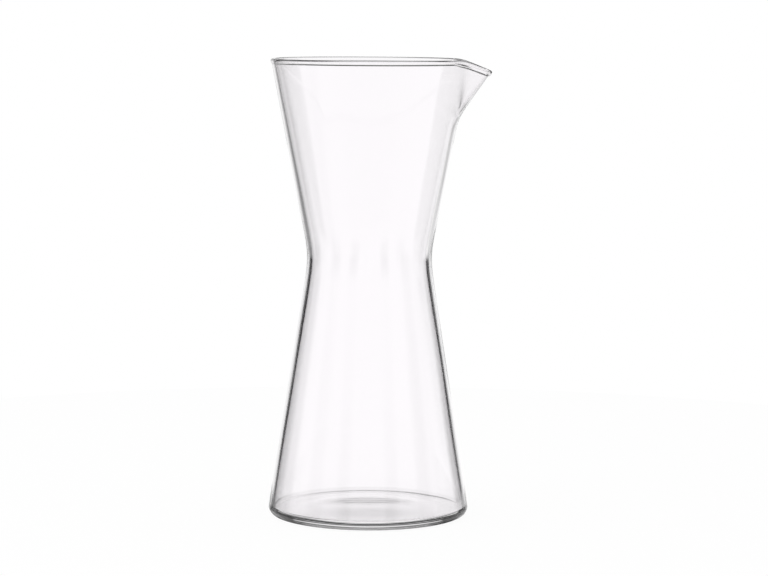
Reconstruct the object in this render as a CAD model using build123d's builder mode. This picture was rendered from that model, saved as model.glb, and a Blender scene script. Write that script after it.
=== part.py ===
"""Water carafe of clear blown glass in one piece: hourglass body, level rim and a pulled spout.

Frame: +Z up, +X out through the spout, origin on the axis, on the plane the foot stands on. Millimetres.
"""

import os
from math import acos, cos, radians, sin, tan

from build123d import *

# Outside of the glass: two straight walls that meet at the waist
height = 220.0
foot_radius = 48.9  # the lower wall's line, where it meets the table
waist_radius = 29.3  # where the two walls' lines meet
waist_height = 125.2
rim_radius = 47.7  # the upper wall's line, at the height of the rim
waist_bend = 52.0  # rounding between the two walls, outside
heel_radius = 4.0  # rounding between the lower wall and the table

# Thickness of the glass, measured level
foot_wall = 2.3
waist_wall = 2.7
rim_wall = 1.7
spout_wall = 1.1  # drawn out thinner where the spout is pulled

# Floor: inside it rises to the middle, and underneath it is hollow, so that a ring stands on the table
floor_height = 3.5
floor_rise = 0.75
floor_corner = 1.5  # rounding between the floor and the wall
ring_width = 8.7  # from the lower wall's line in to the hollow
hollow_depth = 1.0

# Spout: a wedge with a rounded keel, pulled out of the upper wall on the +X side
spout_depth = 28.2  # from the rim down to where the keel leaves the wall
spout_keel_angle = 35.1  # keel, from upright
spout_pinch = 13.0  # each flank, where it leaves the round wall at the rim, seen from above
spout_tip_radius = 3.8  # rounding of the keel at the height of the rim, seen from above
spout_tip_growth = 0.5  # how much rounder the keel is for each millimetre further down
spout_join = 15.0  # rounding between the spout and the wall, outside
spout_run_in = 8.0  # how far below its root the wedge starts, inside the wall

# Rim: level all round, and falling to the tip of the spout
lip_inset = 4.0  # how far inside the rim's radius the fall starts
lip_angle = 21.0  # below level
lip_bend = 20.0  # rounding where the fall starts
rim_rounding = 0.38 * spout_wall  # fire-polished edges, nearly meeting where the glass is thinnest

# The walls are first made this much too high, and the rim is cut from them
trim = 0.6

# Places that follow from the sizes
top = height + trim
ring_radius = foot_radius - ring_width
spout_root = height - spout_depth
lip_start = rim_radius - lip_inset


def between(start, end, share):
    """The value at a share of the way from start to end."""
    return start + (end - start) * share


def upper_radius(z):
    """Outer radius of the upper wall at a height."""
    return between(waist_radius, rim_radius, (z - waist_height) / (height - waist_height))


def upper_thickness(z):
    """Level thickness of the upper wall at a height."""
    return between(waist_wall, rim_wall, (z - waist_height) / (height - waist_height))


def keel_distance(z):
    """Distance from the axis to the outside of the keel at a height."""
    return upper_radius(spout_root) + (z - spout_root) * tan(radians(spout_keel_angle))


# Direction that each flank faces, away from +X, so that it meets the round rim at the pinch
flank_turn = acos(
    (rim_radius * cos(radians(spout_pinch)) - spout_tip_radius) / (keel_distance(height) - spout_tip_radius)
)


def spout_section(z, inset):
    """Level section of the spout's wedge, moved in by an inset and closed by a chord inside the body."""
    tip_radius = spout_tip_radius + (height - z) * spout_tip_growth
    tip_centre = keel_distance(z) - tip_radius
    flank_distance = tip_centre * cos(flank_turn) + tip_radius - inset
    chord_end = (flank_distance * cos(flank_turn), flank_distance * sin(flank_turn))
    flank_end = (
        tip_centre + (tip_radius - inset) * cos(flank_turn),
        (tip_radius - inset) * sin(flank_turn),
    )
    with BuildSketch(Plane.XY.offset(z)) as section:
        with BuildLine():
            flank = Line(chord_end, flank_end)
            TangentArc(flank_end, (keel_distance(z) - inset, 0), tangent=flank % 1)
            Line((chord_end[0], 0), chord_end)
            mirror(about=Plane.XZ)
        make_face()
    return section.sketch


def solid_skin(profile, inset):
    """Solid of revolution of a profile, with the spout's wedge joined on, moved in by an inset."""
    with BuildPart() as skin:
        add(profile)
        revolve(axis=Axis.Z)
        loft([spout_section(z, inset) for z in (spout_root - spout_run_in, top)], ruled=True)
        joins = skin.edges(Select.NEW).filter_by(lambda edge: edge.bounding_box().size.Z > trim)
        fillet(joins, radius=spout_join + inset)
    return skin.part


# Profile of the outer skin, from the middle of the hollow round the heel and up to the top
with BuildSketch(Plane.XZ) as outer_profile:
    with BuildLine():
        Spline((0, hollow_depth), (ring_radius, 0), tangents=((1, 0), (1, 0)))
        FilletPolyline(
            (ring_radius, 0),
            (foot_radius, 0),
            (waist_radius, waist_height),
            (upper_radius(top), top),
            (0, top),
            radius=[heel_radius, waist_bend, 0],
        )
        Line((0, top), (0, hollow_depth))
    make_face()

# Profile of the inner skin, from the middle of the floor to the top
with BuildSketch(Plane.XZ) as inner_profile:
    inner_foot = between(foot_radius - foot_wall, waist_radius - waist_wall, floor_height / waist_height)
    floor_edge = (inner_foot - 2 * floor_corner, floor_height)
    with BuildLine():
        Spline((0, floor_height + floor_rise), floor_edge, tangents=((1, 0), (1, 0)))
        FilletPolyline(
            floor_edge,
            (inner_foot, floor_height),
            (waist_radius - waist_wall, waist_height),
            (upper_radius(top) - upper_thickness(top), top),
            (0, top),
            radius=[floor_corner, waist_bend + waist_wall, 0],
        )
        Line((0, top), (0, floor_height + floor_rise))
    make_face()

# Line of the rim seen from the side, with everything above it
with BuildSketch(Plane.XZ) as above_rim:
    beyond = keel_distance(top) + trim
    with BuildLine():
        FilletPolyline(
            (-beyond, height),
            (lip_start, height),
            (beyond, height - (beyond - lip_start) * tan(radians(lip_angle))),
            (beyond, top + trim),
            (-beyond, top + trim),
            radius=[lip_bend, 0, 0],
        )
        Line((-beyond, top + trim), (-beyond, height))
    make_face()

# The carafe: outer skin, hollowed out, with its rim cut to height and fire-polished
with BuildPart() as carafe:
    add(solid_skin(outer_profile.sketch, 0.0))
    add(solid_skin(inner_profile.sketch, spout_wall), mode=Mode.SUBTRACT)
    extrude(above_rim.sketch, amount=beyond, both=True, mode=Mode.SUBTRACT)
    upper_faces = carafe.faces().filter_by(lambda face: face.center().Z > waist_height)
    rim_faces = upper_faces.filter_by(lambda face: face.normal_at().Z > 0.5)
    fillet(rim_faces.edges().filter_by(Axis.Y, reverse=True), radius=rim_rounding)

carafe.part.label = "carafe"
os.makedirs("parts", exist_ok=True)
export_step(carafe.part, "parts/carafe.step")
print("volume of glass, cm3:", round(carafe.part.volume / 1000, 1))
print("size, mm:", carafe.part.bounding_box().size)
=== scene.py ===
"""Looks of a one-piece blown glass carafe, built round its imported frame.

The glass is one closed mesh, drawn ring by ring: under the foot, up the outside, over the bead of
the rim and down the inside to the floor. Sizes are in metres. Angles are in degrees, except for
the directions round the axis, which are in radians. The axes are the frame's own: +Z up and +X out
through the spout. The camera of the photograph looks along +Y.
"""

from __future__ import annotations

import logging
import math
from collections.abc import Sequence
from dataclasses import dataclass
from enum import Enum

import bpy
import numpy as np
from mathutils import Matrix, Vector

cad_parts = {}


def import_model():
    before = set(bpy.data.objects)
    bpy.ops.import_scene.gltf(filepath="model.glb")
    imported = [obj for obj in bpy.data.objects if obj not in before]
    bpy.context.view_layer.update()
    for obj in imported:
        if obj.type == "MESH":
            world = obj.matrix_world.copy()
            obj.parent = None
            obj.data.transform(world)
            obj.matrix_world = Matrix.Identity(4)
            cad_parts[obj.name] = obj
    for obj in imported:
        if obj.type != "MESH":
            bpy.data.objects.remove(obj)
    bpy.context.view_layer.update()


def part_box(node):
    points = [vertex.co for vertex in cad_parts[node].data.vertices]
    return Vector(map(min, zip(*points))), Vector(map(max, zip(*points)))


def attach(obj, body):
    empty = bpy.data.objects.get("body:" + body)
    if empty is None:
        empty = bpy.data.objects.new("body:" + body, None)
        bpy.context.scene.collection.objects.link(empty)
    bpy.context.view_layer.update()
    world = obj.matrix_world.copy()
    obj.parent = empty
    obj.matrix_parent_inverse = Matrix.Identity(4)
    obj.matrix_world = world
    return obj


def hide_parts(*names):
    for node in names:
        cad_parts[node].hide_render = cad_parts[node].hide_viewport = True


LOG = logging.getLogger("carafe")
NODE = "carafe"
MM = 0.001
ZENITH = 90.0

Socket = bpy.types.NodeSocket
Tree = bpy.types.NodeTree


def soft_max(a: np.ndarray, b: np.ndarray, softness: float) -> np.ndarray:
    """The larger of two lengths, with a smooth change from one to the other.

    Args:
        a: First lengths.
        b: Second lengths.
        softness: Difference below which the two are blended.

    Returns:
        The blended larger lengths.
    """
    overlap = np.maximum(softness - np.abs(a - b), 0.0)
    return np.maximum(a, b) + overlap**3 / (6 * softness**2)


def smooth_step(share: np.ndarray) -> np.ndarray:
    """A smooth rise from 0 to 1.

    Args:
        share: How far along the rise, held to 0 below it and to 1 above it.

    Returns:
        The smoothed shares.
    """
    share = np.clip(share, 0.0, 1.0)
    return share * share * (3 - 2 * share)


def dome(share: np.ndarray) -> np.ndarray:
    """A smooth fall from 1 in the middle to 0 at the edge, by the share of the way out."""
    return 0.5 + 0.5 * np.cos(math.pi * share)


def unit(vectors: np.ndarray) -> np.ndarray:
    """The same directions, each with a length of 1."""
    return vectors / np.linalg.norm(vectors, axis=-1, keepdims=True)


def arc(
    centre: tuple[float, float], radius: float, start: float, end: float, steps: int
) -> np.ndarray:
    """Points of a circular arc in the (radius, height) plane, without its first point.

    Args:
        centre: Centre of the arc.
        radius: Radius of the arc.
        start: Start angle, from straight outwards.
        end: End angle.
        steps: How many points to make.

    Returns:
        An array of (radius, height) rows.
    """
    angles = np.radians(np.linspace(start, end, steps + 1)[1:])
    across, up = radius * np.cos(angles), radius * np.sin(angles)
    return np.stack([centre[0] + across, centre[1] + up], 1)


def add_object(name: str, data: bpy.types.ID) -> bpy.types.Object:
    """Make an object and put it into the scene.

    Args:
        name: Name of the object.
        data: Its mesh, light or camera.

    Returns:
        The object.
    """
    piece = bpy.data.objects.new(name, data)
    bpy.context.scene.collection.objects.link(piece)
    return piece


def empty_material(name: str) -> bpy.types.Material:
    """Make a material that has no nodes yet.

    Args:
        name: Name of the material.

    Returns:
        The material.
    """
    material = bpy.data.materials.new(name)
    material.use_nodes = True
    material.node_tree.nodes.clear()
    return material


class Arithmetic(Enum):
    """What a Math node does with its two values."""

    ADD = "ADD"
    SUBTRACT = "SUBTRACT"
    MULTIPLY = "MULTIPLY"
    LARGER = "MAXIMUM"


class Curve(Enum):
    """How a value changes between two levels."""

    STRAIGHT = "LINEAR"
    EASED = "SMOOTHSTEP"


def feed(tree: Tree, socket: Socket, value: Socket | float) -> None:
    """Give an input its value.

    Args:
        tree: Nodes that the input belongs to.
        socket: The input.
        value: An output to link to it, or a number.
    """
    if isinstance(value, Socket):
        tree.links.new(value, socket)
    else:
        socket.default_value = value


def calculate(
    tree: Tree, operation: Arithmetic, first: Socket | float, second: Socket | float
) -> Socket:
    """Add a Math node.

    Args:
        tree: Nodes to add it to.
        operation: What it does.
        first: Its first value.
        second: Its second value.

    Returns:
        The result.
    """
    node = tree.nodes.new("ShaderNodeMath")
    node.operation = operation.value
    feed(tree, node.inputs[0], first)
    feed(tree, node.inputs[1], second)
    return node.outputs["Value"]


def ramp(
    tree: Tree,
    value: Socket,
    span: tuple[Socket | float, Socket | float],
    levels: tuple[float, float],
    curve: Curve,
) -> Socket:
    """Add a change from one level to another over a span of a value.

    Args:
        tree: Nodes to add it to.
        value: The value that changes it.
        span: The values at which the change starts and ends.
        levels: The levels before and after it.
        curve: How it changes between them.

    Returns:
        The level.
    """
    node = tree.nodes.new("ShaderNodeMapRange")
    node.interpolation_type = curve.value
    tree.links.new(value, node.inputs["Value"])
    feed(tree, node.inputs["From Min"], span[0])
    feed(tree, node.inputs["From Max"], span[1])
    feed(tree, node.inputs["To Min"], levels[0])
    feed(tree, node.inputs["To Max"], levels[1])
    return node.outputs["Result"]


def blend(tree: Tree, share: Socket, first: Socket, second: Socket) -> Socket:
    """Add a mix of two shaders.

    Args:
        tree: Nodes to add it to.
        share: Share of the second shader.
        first: The first shader.
        second: The second shader.

    Returns:
        The mixed shader.
    """
    mix = tree.nodes.new("ShaderNodeMixShader")
    for socket, source in zip(mix.inputs, (share, first, second)):
        tree.links.new(source, socket)
    return mix.outputs["Shader"]


def through_glass(tree: Tree, path: bpy.types.Node) -> Socket:
    """Add the test for rays that glass has reflected or let through.

    Args:
        tree: Nodes to add it to.
        path: Light Path node of the same tree.

    Returns:
        A value of 1 for those rays and of 0 for all others.
    """
    reflected, passed = path.outputs["Is Glossy Ray"], path.outputs["Is Transmission Ray"]
    return calculate(tree, Arithmetic.LARGER, reflected, passed)


@dataclass
class Walls:
    """The two straight walls of the glass, which meet at the waist."""

    height: float
    foot_radius: float = 48.9 * MM
    waist_radius: float = 29.3 * MM
    waist_height: float = 125.2 * MM
    rim_radius: float = 47.7 * MM
    waist_softness: float = 4.6 * MM
    foot_wall: float = 2.3 * MM
    waist_wall: float = 2.7 * MM
    rim_wall: float = 1.7 * MM

    def upper_slope(self) -> float:
        """How much the upper wall widens for each metre of height."""
        return (self.rim_radius - self.waist_radius) / (self.height - self.waist_height)

    def upper_line(self, z: np.ndarray) -> np.ndarray:
        """Outer radius of the upper wall's line at each height."""
        return self.waist_radius + (z - self.waist_height) * self.upper_slope()

    def lower_slope(self) -> float:
        """How much the lower wall narrows for each metre of height."""
        return (self.foot_radius - self.waist_radius) / self.waist_height

    def lower_line(self, z: np.ndarray) -> np.ndarray:
        """Outer radius of the lower wall's line at each height."""
        return self.foot_radius - z * self.lower_slope()

    def outer_radius(self, z: np.ndarray) -> np.ndarray:
        """Outer radius at each height, with the waist rounded."""
        return soft_max(self.lower_line(z), self.upper_line(z), self.waist_softness)

    def thickness(self, z: np.ndarray) -> np.ndarray:
        """Level thickness of the glass at each height, from foot to waist to rim."""
        levels = [0.0, self.waist_height, self.height]
        return np.interp(z, levels, [self.foot_wall, self.waist_wall, self.rim_wall])

    def lean(self) -> float:
        """How far the lower wall leans inwards, from upright."""
        return math.degrees(math.atan(self.lower_slope()))

    def rounding_inset(self, radius: float) -> float:
        """How far inside the lower wall's foot the centre of a rounding of this radius lies."""
        return radius / math.tan(math.radians(90 - self.lean()) / 2)


@dataclass
class Spout:
    """The spout: a wedge with a rounded keel, pulled out of the upper wall."""

    walls: Walls
    depth: float = 28.2 * MM
    keel_angle: float = 35.1
    pinch: float = 13.0
    tip_radius: float = 3.8 * MM
    tip_growth: float = 0.5
    wall: float = 1.1 * MM
    thinned_turn: float = 38.0
    thinned_rise: float = 12.0 * MM
    join_softness: float = 4.0 * MM
    flank_reach: float = 80.0

    def keel(self, z: np.ndarray) -> np.ndarray:
        """Distance from the axis to the outside of the keel at each height."""
        root = self.walls.height - self.depth
        return self.walls.upper_line(root) + (z - root) * math.tan(math.radians(self.keel_angle))

    def thickness(self, azimuth: np.ndarray, z: np.ndarray) -> np.ndarray:
        """Level thickness of the glass, which is drawn out thinner at the spout.

        Args:
            azimuth: Directions from +X.
            z: Heights.

        Returns:
            The thicknesses.
        """
        across = smooth_step(1 - np.abs(azimuth) / math.radians(self.thinned_turn))
        upward = smooth_step((z - self.walls.height + self.depth) / self.thinned_rise)
        body = self.walls.thickness(z)
        return body + (self.wall - body) * across * upward

    def flank_turn(self) -> float:
        """Direction that each flank faces, so that it leaves the round wall at the pinch.

        Returns:
            The direction from +X.
        """
        reach = self.keel(self.walls.height) - self.tip_radius
        across = self.walls.rim_radius * math.cos(math.radians(self.pinch)) - self.tip_radius
        return math.acos(across / reach)

    def outline(self, azimuth: np.ndarray, z: np.ndarray, inset: np.ndarray) -> np.ndarray:
        """Distance from the axis to the wall, moved in by an inset.

        Args:
            azimuth: Directions from +X.
            z: Heights.
            inset: Level distances inside the outer skin.

        Returns:
            The distances, round at the back and drawn out at the spout.
        """
        turn = np.abs(azimuth)
        facing = self.flank_turn()
        outer_tip = self.tip_radius + np.maximum(self.walls.height - z, 0.0) * self.tip_growth
        centre = self.keel(z) - outer_tip
        radius = outer_tip - inset
        flank = centre * math.cos(facing) + radius
        tip_end = np.arctan2(radius * math.sin(facing), centre + radius * math.cos(facing))
        aside = centre * np.sin(turn)
        tip = centre * np.cos(turn) + np.sqrt(np.maximum(radius**2 - aside**2, 0.0))
        past = np.minimum(np.abs(turn - facing), math.radians(self.flank_reach))
        side = np.where(turn < facing, flank / np.cos(past), flank * np.cos(past))
        wedge = np.where(turn < tip_end, tip, side)
        return soft_max(self.walls.outer_radius(z) - inset, wedge, self.join_softness)


@dataclass
class Rim:
    """The fire-polished rim: level all round, falling towards the tip of the spout."""

    walls: Walls
    spout: Spout
    bead_radius: float = 1.1 * MM
    neck_depth: float = 1.65 * MM
    neck_length: float = 0.8 * MM
    spout_bead_height: float = 1.5 * MM
    spout_bead_turn: float = 34.0
    spout_bead_blend: float = 10.0
    fall_inset: float = 4.0 * MM
    fall_angle: float = 21.0
    fall_softness: float = 2.2 * MM
    settling_steps: int = 12

    def top_line(self, x: np.ndarray) -> np.ndarray:
        """Height of the top of the rim at each distance towards the spout."""
        run = x - self.walls.rim_radius + self.fall_inset
        fall = run * math.tan(math.radians(self.fall_angle))
        return self.walls.height - soft_max(fall, np.zeros_like(fall), self.fall_softness)

    def bead_height(self, azimuth: np.ndarray) -> np.ndarray:
        """Height of the bead's top above its middle, which grows at the spout."""
        into = (self.spout_bead_turn - np.degrees(np.abs(azimuth))) / self.spout_bead_blend
        return self.bead_radius + (self.spout_bead_height - self.bead_radius) * smooth_step(into)

    def centre_height(self, azimuth: np.ndarray) -> np.ndarray:
        """Height of the middle of the bead, settled step by step on the leaning wall.

        Args:
            azimuth: Directions from +X.

        Returns:
            The heights.
        """
        z = self.walls.height - self.bead_height(azimuth)
        for _ in range(self.settling_steps):
            inset = self.spout.thickness(azimuth, z) / 2
            x = self.spout.outline(azimuth, z, inset) * np.cos(azimuth)
            z = self.top_line(x) - self.bead_height(azimuth)
        return z

    def half_glass(
        self, below: np.ndarray, bead_height: np.ndarray, wall_half: np.ndarray
    ) -> np.ndarray:
        """Half the thickness of the glass, from the bead over its neck to the wall.

        Args:
            below: Depths under the middle of the bead.
            bead_height: Heights of the bead's top above its middle.
            wall_half: Half the thickness of the wall.

        Returns:
            The half thicknesses.
        """
        neck_depth = self.neck_depth + 2 * (bead_height - self.bead_radius)
        into_wall = smooth_step((below + bead_height - neck_depth) / self.neck_length)
        return self.bead_radius + (wall_half - self.bead_radius) * into_wall


@dataclass
class Foot:
    """The foot: a rounded heel, a standing ring, a shallow hollow and the floor inside."""

    walls: Walls
    heel_radius: float = 4.0 * MM
    ring_width: float = 8.7 * MM
    hollow_depth: float = 1.0 * MM
    floor_height: float = 3.5 * MM
    floor_rise: float = 0.75 * MM
    corner_radius: float = 1.5 * MM
    ripple_height: float = 0.008 * MM
    ripple_spacing: float = 5.0 * MM
    ripple_reach: float = 16.0 * MM

    def ring_radius(self) -> float:
        """Inner radius of the standing ring, where the hollow ends."""
        return self.walls.foot_radius - self.ring_width

    def heel_centre(self) -> tuple[float, float]:
        """Radius and height of the centre of the heel's rounding."""
        inset = self.walls.rounding_inset(self.heel_radius)
        return self.walls.foot_radius - inset, self.heel_radius

    def corner_centre(self) -> tuple[float, float]:
        """Radius and height of the centre of the rounding between the floor and the wall."""
        inner_foot = self.walls.lower_line(self.floor_height) - self.walls.foot_wall
        inset = self.walls.rounding_inset(self.corner_radius)
        return inner_foot - inset, self.floor_height + self.corner_radius

    def hollow(self, radius: np.ndarray) -> np.ndarray:
        """Height of the underside inside the standing ring, with its very slight ripple.

        Args:
            radius: Distances from the axis.

        Returns:
            The heights.
        """
        fade = np.clip(1 - radius / self.ripple_reach, 0.0, 1.0)
        ripple = self.ripple_height * fade * np.cos(2 * math.pi * radius / self.ripple_spacing)
        return self.hollow_depth * dome(radius / self.ring_radius()) + ripple

    def floor(self, radius: np.ndarray) -> np.ndarray:
        """Height of the floor inside, at each distance from the axis."""
        return self.floor_height + self.floor_rise * dome(radius / self.corner_centre()[0])


@dataclass(frozen=True)
class Wave:
    """One wave of the wall: lobes round the axis, twist for each metre up, start and share."""

    lobes: int
    twist: float
    start: float
    share: float

    def swell(self, azimuth: np.ndarray, z: np.ndarray) -> np.ndarray:
        """Height of the wave in each direction and at each height."""
        return self.share * np.sin(self.lobes * azimuth + self.twist * z + self.start)


@dataclass
class Waviness:
    """Slow unevenness that blowing by mouth leaves in the glass."""

    bulge: float = 0.05 * MM
    thickness_share: float = 0.03
    waves: tuple[Wave, ...] = (
        Wave(2, 31.0, 0.7, 1.0),
        Wave(3, -47.0, 2.1, 0.7),
        Wave(5, 88.0, 4.0, 0.35),
        Wave(7, -121.0, 0.0, 0.25),
    )

    def swell(self, azimuth: np.ndarray, z: np.ndarray) -> np.ndarray:
        """Slow pattern over the wall, between -1 and 1, the same on every run."""
        total = sum(wave.share for wave in self.waves)
        return sum(wave.swell(azimuth, z) for wave in self.waves) / total


class Run(Enum):
    """How a grain lies on a surface: how far it is stretched along X, Y and Z."""

    SPECKLED = (1.0, 1.0, 1.0)
    DRAWN_UPWARD = (1.0, 1.0, 0.05)


@dataclass(frozen=True)
class Grain:
    """Fine unevenness that every finish uses, with its own size, run and share of the surface."""

    size: float
    run: Run
    share: float
    softness: float
    group_name: str = "fine_grain"

    def group(self) -> Tree:
        """The shared node group, built on its first use.

        Returns:
            A group that turns a place on the surface into a mask between 0 and 1.
        """
        if self.group_name in bpy.data.node_groups:
            return bpy.data.node_groups[self.group_name]
        group = bpy.data.node_groups.new(self.group_name, "ShaderNodeTree")
        for name, kind in (
            ("Place", "Vector"),
            ("Stretch", "Vector"),
            ("Scale", "Float"),
            ("Bare Below", "Float"),
            ("Full Above", "Float"),
        ):
            group.interface.new_socket(name, in_out="INPUT", socket_type=f"NodeSocket{kind}")
        group.interface.new_socket("Mask", in_out="OUTPUT", socket_type="NodeSocketFloat")
        given = group.nodes.new("NodeGroupInput").outputs
        stretch = group.nodes.new("ShaderNodeVectorMath")
        stretch.operation = "MULTIPLY"
        group.links.new(given["Place"], stretch.inputs[0])
        group.links.new(given["Stretch"], stretch.inputs[1])
        noise = group.nodes.new("ShaderNodeTexNoise")
        group.links.new(stretch.outputs["Vector"], noise.inputs["Vector"])
        group.links.new(given["Scale"], noise.inputs["Scale"])
        span = (given["Bare Below"], given["Full Above"])
        mask = ramp(group, noise.outputs["Fac"], span, (0.0, 1.0), Curve.EASED)
        group.links.new(mask, group.nodes.new("NodeGroupOutput").inputs["Mask"])
        return group

    def place(self, tree: Tree) -> Socket:
        """Put the group into a material.

        Args:
            tree: Nodes of the material.

        Returns:
            The mask of this grain.
        """
        where = tree.nodes.new("ShaderNodeTexCoord")
        grain = tree.nodes.new("ShaderNodeGroup")
        grain.node_tree = self.group()
        tree.links.new(where.outputs["Object"], grain.inputs["Place"])
        grain.inputs["Stretch"].default_value = self.run.value
        grain.inputs["Scale"].default_value = 1 / self.size
        middle = 1 - self.share
        grain.inputs["Bare Below"].default_value = middle - self.softness
        grain.inputs["Full Above"].default_value = middle + self.softness
        return grain.outputs["Mask"]


@dataclass(frozen=True)
class ClearGlass:
    """Clear, colourless blown glass with faint draw lines and a scuffed standing ring."""

    name: str = "clear_glass"
    ior: float = 1.5
    tint: tuple[float, float, float, float] = (0.995, 0.983, 0.995, 1.0)
    shadow_tint: tuple[float, float, float, float] = (0.9, 0.9, 0.9, 1.0)
    draw_lines: Grain = Grain(12 * MM, Run.DRAWN_UPWARD, 0.5, 0.3)
    draw_line_depth: float = 0.004 * MM
    scuffs: Grain = Grain(0.6 * MM, Run.SPECKLED, 0.42, 0.06)
    scuff_height: float = 0.12 * MM
    scuff_roughness: float = 0.3

    def roughness(self, tree: Tree) -> Socket:
        """Roughness of the glass: polished all over, and scuffed where it stands on the table.

        Args:
            tree: Nodes of the material.

        Returns:
            The roughness.
        """
        where = tree.nodes.new("ShaderNodeTexCoord")
        split = tree.nodes.new("ShaderNodeSeparateXYZ")
        tree.links.new(where.outputs["Object"], split.inputs["Vector"])
        span, levels = (0.0, self.scuff_height), (self.scuff_roughness, 0.0)
        low = ramp(tree, split.outputs["Z"], span, levels, Curve.STRAIGHT)
        return calculate(tree, Arithmetic.MULTIPLY, low, self.scuffs.place(tree))

    def build(self) -> bpy.types.Material:
        """Make the material, which casts only a faint shadow.

        Returns:
            The material, ready to be put on a piece.
        """
        material = empty_material(self.name)
        tree = material.node_tree
        shader = tree.nodes.new("ShaderNodeBsdfPrincipled")
        shader.inputs["Base Color"].default_value = self.tint
        shader.inputs["IOR"].default_value = self.ior
        shader.inputs["Transmission Weight"].default_value = 1.0
        tree.links.new(self.roughness(tree), shader.inputs["Roughness"])
        lines = tree.nodes.new("ShaderNodeBump")
        lines.inputs["Distance"].default_value = self.draw_line_depth
        tree.links.new(self.draw_lines.place(tree), lines.inputs["Height"])
        tree.links.new(lines.outputs["Normal"], shader.inputs["Normal"])
        see_through = tree.nodes.new("ShaderNodeBsdfTransparent")
        see_through.inputs["Color"].default_value = self.shadow_tint
        shadow = tree.nodes.new("ShaderNodeLightPath").outputs["Is Shadow Ray"]
        surface = blend(tree, shadow, shader.outputs["BSDF"], see_through.outputs["BSDF"])
        output = tree.nodes.new("ShaderNodeOutputMaterial")
        tree.links.new(surface, output.inputs["Surface"])
        return material


@dataclass
class BlownCarafe:
    """The carafe: one closed skin of glass."""

    walls: Walls
    spout: Spout
    rim: Rim
    foot: Foot
    waviness: Waviness
    finish: ClearGlass
    directions: int = 288
    spout_crowding: float = 0.3
    split_height: float = 178.0 * MM
    hollow_rows: int = 22
    ring_rows: int = 2
    heel_rows: int = 40
    heel_clearance: float = 1.6
    straight_rows: int = 12
    waist_rows: int = 29
    waist_zone: float = 16.0 * MM
    approach_rows: int = 6
    spout_rows: int = 28
    upward_crowding: float = 1.5
    neck_rows: int = 20
    neck_zone: float = 2.0 * MM
    cap_rows: int = 40
    corner_rows: int = 28
    floor_rings: int = 15
    slope_step: float = 1e-4

    def azimuths(self) -> np.ndarray:
        """Directions of the mesh's columns, closer together towards the spout.

        Returns:
            Directions from +X, all the way round.
        """
        half = self.directions // 2
        share = np.arange(1, half) / half
        turn = math.pi * (self.spout_crowding * share + (1 - self.spout_crowding) * share**2)
        return np.concatenate([[0.0], turn, [math.pi], -turn[::-1]])

    def ring(self, radius: np.ndarray, z: np.ndarray) -> np.ndarray:
        """One closed row of points.

        Args:
            radius: Distance from the axis in each direction.
            z: Height in each direction.

        Returns:
            An array of (x, y, z) rows.
        """
        azimuth = self.azimuths()
        ones = np.ones_like(azimuth)
        return np.stack([radius * np.cos(azimuth), radius * np.sin(azimuth), z * ones], 1)

    def underside(self) -> list[np.ndarray]:
        """Rows from near the middle of the hollow, over the standing ring and round the heel.

        Returns:
            The rows, from the inside out.
        """
        foot = self.foot
        inner, outer = foot.ring_radius(), foot.heel_centre()[0]
        radii = np.linspace(0.0, inner, self.hollow_rows + 1)[1:]
        rows = [self.ring(radius, z) for radius, z in zip(radii, foot.hollow(radii))]
        rows += [self.ring(r, 0.0) for r in np.linspace(inner, outer, self.ring_rows + 1)[1:]]
        lean = self.walls.lean()
        heel = arc(foot.heel_centre(), foot.heel_radius, -90.0, lean, self.heel_rows)
        return rows + [self.ring(radius, z) for radius, z in heel]

    def floor_rows(self) -> list[np.ndarray]:
        """Rows from the top of the floor's corner down and in to near the middle of the floor.

        Returns:
            The rows, from the outside in.
        """
        foot, centre = self.foot, self.foot.corner_centre()
        corner = arc(centre, foot.corner_radius, self.walls.lean(), -90.0, self.corner_rows)
        rows = [self.ring(radius, z) for radius, z in corner]
        radii = np.linspace(centre[0], 0.0, self.floor_rings + 2)[1:-1]
        return rows + [self.ring(radius, z) for radius, z in zip(radii, foot.floor(radii))]

    def wall_heights(self) -> np.ndarray:
        """Heights of the rows of the round wall, from clear of the heel up, closer at the waist.

        Returns:
            The heights, from the foot up.
        """
        start, waist = self.foot.heel_radius * self.heel_clearance, self.walls.waist_height
        low, high = waist - self.waist_zone, waist + self.waist_zone
        below = np.linspace(start, low, self.straight_rows + 1)[1:]
        middle = np.linspace(low, high, self.waist_rows + 1)[1:]
        above = np.linspace(high, self.split_height, self.approach_rows + 2)[1:-1]
        return np.concatenate([below, middle, above])

    def wall_rows(self) -> tuple[list[np.ndarray], list[np.ndarray]]:
        """Rows of the round wall below the spout.

        Returns:
            The rows outside and the rows inside, both from the foot up.
        """
        azimuth = self.azimuths()
        outside, inside = [], []
        for z in self.wall_heights():
            swell = self.waviness.swell(azimuth, z)
            outer = self.walls.outer_radius(z) + self.waviness.bulge * swell
            unevenness = 1 + self.waviness.thickness_share * swell[::-1]
            outside.append(self.ring(outer, z))
            inside.append(self.ring(outer - self.walls.thickness(z) * unevenness, z))
        return outside, inside

    def upper_heights(self, top: np.ndarray) -> np.ndarray:
        """Heights of the rows above the split, closer together towards the rim.

        Args:
            top: Height of the middle of the bead in each direction.

        Returns:
            The heights, a row of them for each row of points.
        """
        share = 1 - np.linspace(1.0, 0.0, self.spout_rows)[:, None] ** self.upward_crowding
        climb = self.split_height + (top - self.neck_zone - self.split_height) * share
        neck = top - np.linspace(self.neck_zone, 0.0, self.neck_rows)[1:, None]
        return np.concatenate([climb, neck])

    def middle_surface(self, azimuth: np.ndarray, z: np.ndarray) -> np.ndarray:
        """Points half way through the wall.

        Args:
            azimuth: Directions from +X.
            z: Heights, of the same shape.

        Returns:
            An array of that shape, with (x, y, z) as its last axis.
        """
        swell = self.waviness.bulge * self.waviness.swell(azimuth, z)
        radius = self.spout.outline(azimuth, z, self.spout.thickness(azimuth, z) / 2) + swell
        return np.stack([radius * np.cos(azimuth), radius * np.sin(azimuth), z], -1)

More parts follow.
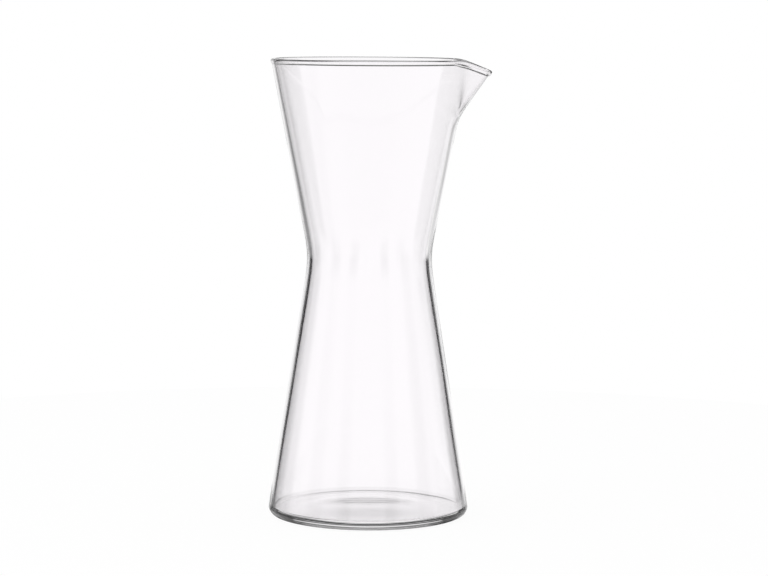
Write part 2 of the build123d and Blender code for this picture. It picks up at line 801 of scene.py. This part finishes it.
    def outward(self, azimuth: np.ndarray, z: np.ndarray) -> np.ndarray:
        """Directions square to the wall, by two small steps round it and up it.

        Args:
            azimuth: Directions from +X.
            z: Heights, of the same shape.

        Returns:
            An array of that shape, with (x, y, z) as its last axis.
        """
        step = self.slope_step
        around = self.middle_surface(azimuth + step, z) - self.middle_surface(azimuth - step, z)
        upward = self.middle_surface(azimuth, z + step) - self.middle_surface(azimuth, z - step)
        return unit(np.cross(around, upward))

    def upper_rows(self) -> tuple[list[np.ndarray], list[np.ndarray], list[np.ndarray]]:
        """Rows of the wall round the spout and of the rim.

        Returns:
            The rows outside, those over the bead, and those inside, the walls' from the lowest up.
        """
        azimuth, rim = self.azimuths(), self.rim
        bead_height = rim.bead_height(azimuth)
        z = self.upper_heights(rim.centre_height(azimuth))
        turn = np.broadcast_to(azimuth, z.shape)
        middle, normal = self.middle_surface(turn, z), self.outward(turn, z)
        crest, facing = middle[-1], normal[-1]
        rise = np.cross(facing, unit(np.roll(crest, -1, axis=0) - np.roll(crest, 1, axis=0)))
        below = np.abs(np.einsum("rck,ck->rc", crest[None] - middle, rise))
        level = np.hypot(normal[..., 0], normal[..., 1])
        wall_half = self.spout.thickness(turn, z) / 2 * level
        half = rim.half_glass(below, bead_height, wall_half)
        outside = list(middle + normal * half[..., None])
        inside = list(middle - normal * half[..., None])
        lift = bead_height[:, None] * rise
        cap = [
            crest + rim.bead_radius * math.cos(angle) * facing + math.sin(angle) * lift
            for angle in np.linspace(0, math.pi, self.cap_rows + 1)[1:-1]
        ]
        return outside, cap, inside

    def faces(self, row_count: int) -> list[tuple[int, ...]]:
        """Faces between the rows, and those round the point at each end of the axis.

        Args:
            row_count: How many rows of points there are.

        Returns:
            The faces, by the numbers of their points.
        """
        count = self.directions
        last = (row_count - 1) * count
        first_pole, last_pole = last + count, last + count + 1
        columns = [(column, (column + 1) % count) for column in range(count)]
        faces = []
        for base in range(0, last, count):
            above = base + count
            faces += [(base + a, base + b, above + b, above + a) for a, b in columns]
        for a, b in columns:
            faces += [(b, a, first_pole), (last + a, last + b, last_pole)]
        return faces

    def mesh(self) -> bpy.types.Mesh:
        """Join all the rows into one closed mesh with a point at each end of the axis.

        Returns:
            The mesh, smooth shaded.
        """
        wall_outside, wall_inside = self.wall_rows()
        upper_outside, cap, upper_inside = self.upper_rows()
        rows = self.underside() + wall_outside + upper_outside + cap
        rows += upper_inside[::-1] + wall_inside[::-1] + self.floor_rows()
        ends = [[0.0, 0.0, self.foot.hollow(0.0)], [0.0, 0.0, self.foot.floor(0.0)]]
        points = np.concatenate([*rows, ends])
        mesh = bpy.data.meshes.new(self.finish.name)
        mesh.from_pydata(points.tolist(), [], self.faces(len(rows)))
        mesh.update()
        mesh.polygons.foreach_set("use_smooth", [True] * len(mesh.polygons))
        return mesh

    def build(self) -> bpy.types.Object:
        """Make the glass, dress it and put it in the place of the frame's node.

        Returns:
            The new piece.
        """
        piece = add_object("carafe_glass", self.mesh())
        piece.data.materials.append(self.finish.build())
        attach(piece, "root")
        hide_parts(NODE)
        return piece


@dataclass(frozen=True)
class DarkCard:
    """A dark card of the studio, as the window of directions in which the glass sees it.

    Its azimuth is 0 behind the object and grows towards the left of the picture. Its sides, and its
    lower and upper ends, fade over the softness on either side of them.
    """

    azimuth: float
    half_width: float
    lowest: float
    highest: float
    darkness: float
    side_softness: float
    end_softness: float

    def shade(self, tree: Tree, flat: Socket, height: Socket) -> Socket:
        """Add the nodes that give the light left by the card.

        Args:
            tree: Nodes of the world.
            flat: Level unit vector towards the place looked at.
            height: Sine of its elevation.

        Returns:
            A value of 1 outside the card, down to 1 less its darkness inside.
        """
        angle = math.radians(self.azimuth)
        dot = tree.nodes.new("ShaderNodeVectorMath")
        dot.operation = "DOT_PRODUCT"
        dot.inputs[1].default_value = (-math.sin(angle), math.cos(angle), 0.0)
        tree.links.new(flat, dot.inputs[0])
        outer = math.cos(math.radians(self.half_width + self.side_softness))
        inner = math.cos(math.radians(self.half_width - self.side_softness))
        side = dot.outputs["Value"]
        across = ramp(tree, side, (outer, inner), (0.0, self.darkness), Curve.EASED)
        above = ramp(tree, height, self.end(self.lowest), (0.0, 1.0), Curve.EASED)
        below = ramp(tree, height, self.end(self.highest), (1.0, 0.0), Curve.EASED)
        upright = calculate(tree, Arithmetic.MULTIPLY, above, below)
        taken = calculate(tree, Arithmetic.MULTIPLY, across, upright)
        return calculate(tree, Arithmetic.SUBTRACT, 1.0, taken)

    def end(self, elevation: float) -> tuple[float, float]:
        """Where the card's lower or upper end fades.

        Args:
            elevation: Elevation of the end.

        Returns:
            The sines of the elevations at which the fade starts and ends.
        """
        start = math.radians(elevation - self.end_softness)
        stop = math.radians(min(elevation + self.end_softness, ZENITH))
        return math.sin(start), math.sin(stop)


@dataclass
class Studio:
    """A white studio with dark cards round the object."""

    cards: tuple[DarkCard, ...] = (
        # Ceiling, with a soft fringe below it
        DarkCard(0.0, 80.0, 16.0, 90.0, 1.0, 10.0, 4.0),
        DarkCard(0.0, 60.0, 8.0, 17.0, 0.25, 20.0, 3.0),
        # Both sides, which draw the dark lines of the walls
        DarkCard(57.0, 20.5, 4.0, 90.0, 0.98, 1.5, 3.0),
        DarkCard(41.0, 14.0, -9.0, 6.0, 0.98, 2.0, 4.0),
        DarkCard(64.0, 12.0, -8.0, 5.0, 0.6, 4.0, 4.0),
        DarkCard(-58.0, 21.5, 6.0, 90.0, 0.98, 1.5, 3.0),
        DarkCard(-40.5, 13.5, -7.5, 7.0, 0.98, 2.0, 4.0),
        # Thin grey veils towards the middle
        DarkCard(22.0, 12.0, -8.0, 16.0, 0.13, 6.0, 4.0),
        DarkCard(-22.0, 10.0, -8.0, 16.0, 0.04, 6.0, 4.0),
        # Just below the side cards
        DarkCard(31.0, 11.0, -16.0, -8.0, 0.7, 4.0, 3.0),
        DarkCard(51.0, 8.0, -16.0, -8.0, 0.4, 4.0, 3.0),
        DarkCard(-27.0, 6.0, -14.0, -6.0, 0.4, 4.0, 4.0),
        DarkCard(-30.0, 12.0, -20.0, -14.0, 0.4, 5.0, 3.0),
        # Low down, for the heel and the floor
        DarkCard(15.0, 9.0, -43.0, -18.0, 0.9, 4.0, 4.0),
        DarkCard(-25.0, 10.0, -43.0, -27.0, 0.9, 4.0, 4.0),
        DarkCard(-50.0, 14.0, -33.0, -18.0, 0.25, 6.0, 5.0),
        DarkCard(0.0, 45.0, -56.0, -37.0, 0.75, 20.0, 6.0),
        DarkCard(0.0, 12.0, -36.0, -26.0, 0.15, 6.0, 4.0),
        DarkCard(0.0, 60.0, -22.0, -12.0, 0.08, 10.0, 3.0),
        DarkCard(64.0, 18.0, -18.0, -7.0, 0.35, 5.0, 4.0),
        DarkCard(92.0, 18.0, -60.0, -18.0, 0.3, 6.0, 4.0),
        # Sides and back, for the outline as it is seen from there
        DarkCard(113.0, 8.0, -15.0, 8.0, 0.45, 6.0, 7.0),
        DarkCard(150.0, 6.0, -15.0, 8.0, 0.65, 5.0, 7.0),
        DarkCard(209.0, 6.0, -15.0, 8.0, 0.65, 5.0, 7.0),
        DarkCard(252.0, 8.0, -15.0, 8.0, 0.55, 6.0, 7.0),
        DarkCard(180.0, 105.0, 22.0, 90.0, 0.5, 20.0, 10.0),
    )
    colour: tuple[float, float, float, float] = (1.0, 1.0, 1.0, 1.0)
    fill_strength: float = 0.85
    passes: int = 24
    reflections: int = 12

    def card_light(self, tree: Tree) -> Socket:
        """Add the light that all the cards together leave in each direction.

        Args:
            tree: Nodes of the world.

        Returns:
            The light, 1 where there is no card.
        """
        direction = tree.nodes.new("ShaderNodeTexCoord").outputs["Generated"]
        flat = tree.nodes.new("ShaderNodeVectorMath")
        flat.operation = "MULTIPLY"
        flat.inputs[1].default_value = (1.0, 1.0, 0.0)
        tree.links.new(direction, flat.inputs[0])
        level = tree.nodes.new("ShaderNodeVectorMath")
        level.operation = "NORMALIZE"
        tree.links.new(flat.outputs["Vector"], level.inputs[0])
        split = tree.nodes.new("ShaderNodeSeparateXYZ")
        tree.links.new(direction, split.inputs["Vector"])
        towards, height = level.outputs["Vector"], split.outputs["Z"]
        shades = [card.shade(tree, towards, height) for card in self.cards]
        light = shades[0]
        for shade in shades[1:]:
            light = calculate(tree, Arithmetic.MULTIPLY, light, shade)
        return light

    def backdrop(self, tree: Tree, strength: Socket | float) -> Socket:
        """Add a white background.

        Args:
            tree: Nodes of the world.
            strength: Its strength, where 1 is white.

        Returns:
            The background.
        """
        node = tree.nodes.new("ShaderNodeBackground")
        node.inputs["Color"].default_value = self.colour
        feed(tree, node.inputs["Strength"], strength)
        return node.outputs["Background"]

    def world(self) -> None:
        """Build the world: white to the camera, cards to the glass, an even fill to the table."""
        world = bpy.data.worlds.new("white_studio")
        bpy.context.scene.world = world
        world.use_nodes = True
        tree = world.node_tree
        tree.nodes.clear()
        cards = self.backdrop(tree, self.card_light(tree))
        fill, white = self.backdrop(tree, self.fill_strength), self.backdrop(tree, 1.0)
        path = tree.nodes.new("ShaderNodeLightPath")
        lit = blend(tree, through_glass(tree, path), fill, cards)
        shown = blend(tree, path.outputs["Is Camera Ray"], lit, white)
        output = tree.nodes.new("ShaderNodeOutputWorld")
        tree.links.new(shown, output.inputs["Surface"])

    def exposure(self) -> None:
        """Show colours as they are, and let light pass and be reflected in the glass."""
        scene = bpy.context.scene
        scene.view_settings.view_transform = "Standard"
        scene.cycles.max_bounces = self.passes
        scene.cycles.transmission_bounces = self.passes
        scene.cycles.transparent_max_bounces = self.passes
        scene.cycles.glossy_bounces = self.reflections

    def build(self) -> None:
        """Build the world, and set how its light is followed and shown."""
        self.world()
        self.exposure()


@dataclass(frozen=True)
class PaleTop:
    """Matt, finely mottled finish of the table, which stays pale where the camera looks."""

    name: str = "pale_table"
    mottling: Grain = Grain(2.0 * MM, Run.SPECKLED, 0.5, 0.25)
    paleness: tuple[float, float] = (0.92, 0.86)
    glow: float = 0.93

    def build(self) -> bpy.types.Material:
        """Make the material, white to the camera and with only a trace of shadow.

        Returns:
            The material.
        """
        material = empty_material(self.name)
        tree = material.node_tree
        mottling = self.mottling.place(tree)
        paleness = ramp(tree, mottling, (0.0, 1.0), self.paleness, Curve.STRAIGHT)
        matt = tree.nodes.new("ShaderNodeBsdfDiffuse")
        tree.links.new(paleness, matt.inputs["Color"])
        white = tree.nodes.new("ShaderNodeEmission")
        path = tree.nodes.new("ShaderNodeLightPath")
        camera, glass = path.outputs["Is Camera Ray"], through_glass(tree, path)
        seen = calculate(tree, Arithmetic.ADD, camera, glass)
        share = calculate(tree, Arithmetic.MULTIPLY, seen, self.glow)
        surface = blend(tree, share, matt.outputs["BSDF"], white.outputs["Emission"])
        output = tree.nodes.new("ShaderNodeOutputMaterial")
        tree.links.new(surface, output.inputs["Surface"])
        return material


@dataclass
class Table:
    """The round table that the carafe stands on, a hair below the foot."""

    finish: PaleTop
    radius: float = 0.45
    corners: int = 96
    drop: float = 0.2 * MM

    def mesh(self) -> bpy.types.Mesh:
        """Draw the table's top as a fan of triangles.

        Returns:
            The mesh.
        """
        count, z = self.corners, -self.drop
        turns = [2 * math.pi * n / count for n in range(count)]
        edge = [(self.radius * math.cos(turn), self.radius * math.sin(turn), z) for turn in turns]
        faces = [(0, n + 1, (n + 1) % count + 1) for n in range(count)]
        mesh = bpy.data.meshes.new("table")
        mesh.from_pydata([(0.0, 0.0, z), *edge], [], faces)
        return mesh

    def build(self) -> bpy.types.Object:
        """Make the table, which shows to the camera and not in the glass.

        Returns:
            The table.
        """
        table = add_object("table", self.mesh())
        table.data.materials.append(self.finish.build())
        table.visible_glossy = False
        table.visible_transmission = False
        return table


@dataclass
class Softbox:
    """One large soft lamp that hangs over the table."""

    size: float = 0.8
    power: float = 6.0
    place: tuple[float, float, float] = (-0.5, -0.4, 1.3)
    tilt: tuple[float, float, float] = (-18.0, -21.0, 0.0)

    def build(self) -> None:
        """Make the lamp, hidden from the glass."""
        light = bpy.data.lights.new("overhead_softbox", "AREA")
        light.shape = "SQUARE"
        light.size = self.size
        light.energy = self.power
        lamp = add_object("overhead_softbox", light)
        lamp.location = self.place
        lamp.rotation_euler = [math.radians(angle) for angle in self.tilt]
        lamp.visible_glossy = False
        lamp.visible_transmission = False


@dataclass
class PhotoCamera:
    """The camera of the photograph, a little above the rim and tilted down to the carafe."""

    focal_pixels: float = 2833.4
    image_width: float = 768.0
    sensor_width: float = 36.0
    distance: float = 1.357
    height: float = 0.2501
    aside: float = 7.1 * MM
    pitch: float = 5.896
    roll: float = 0.35
    nearest: float = 0.01

    def build(self) -> None:
        """Make the camera and set it as the scene's."""
        data = bpy.data.cameras.new("photo_camera")
        data.sensor_width = self.sensor_width
        data.lens = self.focal_pixels / self.image_width * self.sensor_width
        data.clip_start = self.nearest
        camera = add_object("photo_camera", data)
        camera.location = (self.aside, -self.distance, self.height)
        camera.rotation_mode = "ZYX"
        camera.rotation_euler = (math.radians(90 - self.pitch), 0.0, math.radians(self.roll))
        bpy.context.scene.camera = camera


def report(piece: bpy.types.Object) -> None:
    """Log the name of a piece and how many faces it has."""
    LOG.info("%s: %d faces", piece.name, len(piece.data.polygons))


def main() -> None:
    """Build the carafe, studio, table, lamp and camera in order, and report the faces of the glass
    and the table.
    """
    logging.basicConfig(level=logging.INFO, format="%(name)s: %(message)s")
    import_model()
    walls = Walls(height=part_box(NODE)[1][2])
    spout = Spout(walls)
    rim, foot = Rim(walls, spout), Foot(walls)
    report(BlownCarafe(walls, spout, rim, foot, Waviness(), ClearGlass()).build())
    Studio().build()
    report(Table(PaleTop()).build())
    Softbox().build()
    PhotoCamera().build()


if __name__ == "__main__":
    main()
